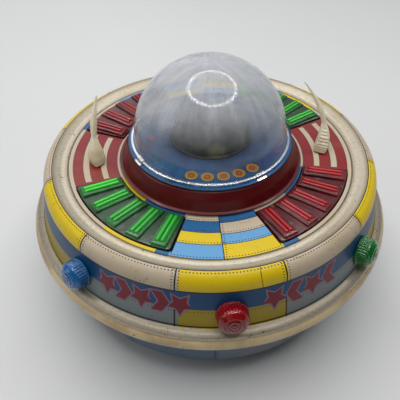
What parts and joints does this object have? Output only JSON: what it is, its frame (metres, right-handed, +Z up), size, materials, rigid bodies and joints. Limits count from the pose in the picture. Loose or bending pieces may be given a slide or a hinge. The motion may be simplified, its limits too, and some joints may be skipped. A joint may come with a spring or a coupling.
{
  "type": "battery-operated tin-plate flying saucer toy",
  "caption": "Round tin flying-saucer toy with clear dome, louvred windows, swivelling antennas, side lamps and a geared, self-steering drive unit on wheels.",
  "frame": {"origin": "on the surface the toy stands on, under the middle of the hull", "axes": "+Z up along the hull's axis of revolution; the toy's front, with the middle lamp, faces -Y; +X is to the right of a viewer in front of it"},
  "size_m": [0.215, 0.215, 0.1377],
  "materials": {
    "printed_band": "lithographed tin, satin varnish with wear",
    "ivory_rim": "aged ivory enamel, satin",
    "pale_tin": "pale grey enamel, satin",
    "printed_deck": "lithographed tin, satin varnish",
    "green_clear": "translucent, moulded, glossy",
    "red_clear": "translucent, moulded, glossy",
    "blue_clear": "translucent, moulded, glossy",
    "dark_red_tin": "gloss enamel",
    "blue_tin": "lithographed tin, satin varnish",
    "clear_dome": "clear moulded plastic with fine scratches",
    "smoked_green": "smoked translucent, glossy",
    "plated_steel": "zinc plated",
    "bulb_glass": "clear glass",
    "black_plastic": "moulded, matt",
    "cell_jacket": "printed metal jacket, gloss",
    "brass": "bright",
    "ivory_plastic": "aged, moulded, satin",
    "white_nylon": "moulded",
    "black_rubber": "matt",
    "bright_mirror": "vacuum plated plastic"
  },
  "bodies": {
    "hull": {"upper_hull": "printed_band", "rim_bead": "ivory_rim", "lower_hull": "pale_tin", "deck_plate": "printed_deck", "louvre_panel_front_left": "green_clear", "louvre_panel_front_right": "red_clear", "louvre_panel_back_right": "green_clear", "louvre_panel_back_left": "red_clear", "collar_ring": "dark_red_tin", "cockpit_floor": "blue_tin", "dome": "clear_dome", "beacon_lens": "smoked_green", "beacon_bridge": "plated_steel", "beacon_post": "plated_steel", "beacon_bulb": "bulb_glass", "lamp_cap_left": "blue_clear", "lamp_cap_front": "red_clear", "lamp_cap_right": "green_clear", "lamp_bulb_left": "bulb_glass", "lamp_bulb_front": "bulb_glass", "lamp_bulb_right": "bulb_glass", "lamp_socket_left": "black_plastic", "lamp_socket_front": "black_plastic", "lamp_socket_right": "black_plastic", "chassis_channel": "plated_steel", "gearbox_plate": "plated_steel", "gearbox_post_1": "plated_steel", "gearbox_post_2": "plated_steel", "gearbox_post_3": "plated_steel", "gearbox_post_4": "plated_steel", "motor_can": "plated_steel", "battery_box": "black_plastic", "cell_left": "cell_jacket", "cell_right": "cell_jacket", "contact_front": "brass", "contact_back_left": "brass", "contact_back_right": "brass", "rear_bracket_left": "plated_steel", "rear_bracket_right": "plated_steel", "switch_housing": "plated_steel"},
    "antenna_left": {"antenna_left": "ivory_plastic"},
    "antenna_right": {"antenna_right": "ivory_plastic"},
    "drive_turret": {"turret_frame": "plated_steel"},
    "drive_wheels": {"drive_axle": "plated_steel", "drive_wheel_left": "white_nylon", "drive_wheel_right": "white_nylon", "drive_tyre_left": "black_rubber", "drive_tyre_right": "black_rubber"},
    "motor_shaft": {"motor_pinion": "brass"},
    "main_shaft": {"main_gear": "white_nylon"},
    "beacon_shaft": {"beacon_gear": "white_nylon"},
    "beacon_turntable": {"beacon_rotor": "bright_mirror"},
    "rear_wheels": {"rear_axle": "plated_steel", "rear_wheel_left": "black_plastic", "rear_wheel_right": "black_plastic"},
    "door": {"battery_door": "pale_tin"},
    "switch": {"switch_knob": "black_plastic"}
  },
  "joints": [
    {"name": "turret_swivel", "type": "hinge", "parent": "hull", "child": "drive_turret", "pos_m": [0, -0.0459, 0.0365], "axis": [0, 0, 1], "continuous": true},
    {"name": "drive_spin", "type": "hinge", "parent": "drive_turret", "child": "drive_wheels", "pos_m": [0, -0.0459, 0.014], "axis": [1, 0, 0], "continuous": true},
    {"name": "main_shaft_spin", "type": "hinge", "parent": "hull", "child": "main_shaft", "pos_m": [0, -0.0459, 0.045], "axis": [0, 0, 1], "continuous": true},
    {"name": "motor_spin", "type": "hinge", "parent": "hull", "child": "motor_shaft", "pos_m": [0.0192, -0.0459, 0.045], "axis": [0, 0, 1], "continuous": true},
    {"name": "beacon_shaft_spin", "type": "hinge", "parent": "hull", "child": "beacon_shaft", "pos_m": [0, -0.0168, 0.045], "axis": [0, 0, 1], "continuous": true},
    {"name": "beacon_spin", "type": "hinge", "parent": "hull", "child": "beacon_turntable", "pos_m": [0, 0, 0.085], "axis": [0, 0, 1], "continuous": true},
    {"name": "rear_wheels_spin", "type": "hinge", "parent": "hull", "child": "rear_wheels", "pos_m": [0, 0.0673, 0.011], "axis": [1, 0, 0], "continuous": true},
    {"name": "battery_door_hinge", "type": "hinge", "parent": "hull", "child": "door", "pos_m": [0, 0.0527, 0.008], "axis": [1, 0, 0], "range_deg": [0, 100]},
    {"name": "switch_slide", "type": "slide", "parent": "hull", "child": "switch", "axis": [0, 1, 0], "range_m": [0, 0.006]},
    {"name": "antenna_left_swivel", "type": "hinge", "parent": "hull", "child": "antenna_left", "pos_m": [-0.065, -0.00626, 0.081], "axis": [0, 0, 1], "range_deg": [-60, 60]},
    {"name": "antenna_right_swivel", "type": "hinge", "parent": "hull", "child": "antenna_right", "pos_m": [0.065, -0.00626, 0.081], "axis": [0, 0, 1], "range_deg": [-60, 60]}
  ],
  "couplings": [
    {"joint": "drive_spin", "follows": "main_shaft_spin", "ratio": -0.33333},
    {"joint": "motor_spin", "follows": "main_shaft_spin", "ratio": -5.4},
    {"joint": "beacon_shaft_spin", "follows": "main_shaft_spin", "ratio": -1.2558},
    {"joint": "beacon_spin", "follows": "main_shaft_spin", "ratio": 0.273}
  ]
}
